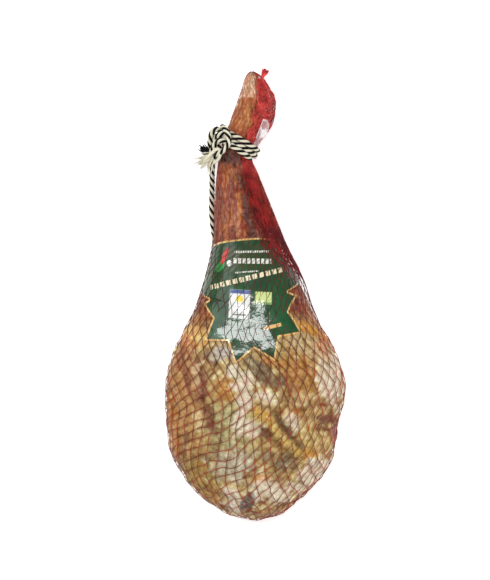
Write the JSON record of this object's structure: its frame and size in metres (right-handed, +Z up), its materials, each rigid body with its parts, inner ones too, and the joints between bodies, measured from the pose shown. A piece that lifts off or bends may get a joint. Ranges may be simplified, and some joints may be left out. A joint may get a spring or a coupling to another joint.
{
  "type": "cured ham",
  "caption": "Whole cured shoulder ham with its foot, in a tied diamond net with a printed star label, laid flat on its back.",
  "frame": {"origin": "on the surface that the ham lies on, under the middle of its outline", "axes": "+Y along the ham towards its foot, +X to the side that the foot leans to, +Z up out of the surface"},
  "size_m": [0.2546, 0.6387, 0.0981],
  "materials": {
    "meat": "waxy mottled fat, muscle and skin, dry and slightly greasy",
    "label": "glossy printed dark green card with a gold edge",
    "net": "dark red extruded diamond netting",
    "rope": "laid cotton rope of cream and black strands",
    "film": "thin crinkled clear film"
  },
  "bodies": {
    "root": {"cured_ham": "meat", "label_wrap": "label", "net_sleeve": "net", "net_end_tuft": "net", "rope_turn_upper": "rope", "rope_turn_lower": "rope", "rope_knot": "rope", "rope_frayed_end": "rope", "rope_tail": "rope", "film_tag": "film"}
  },
  "joints": []
}
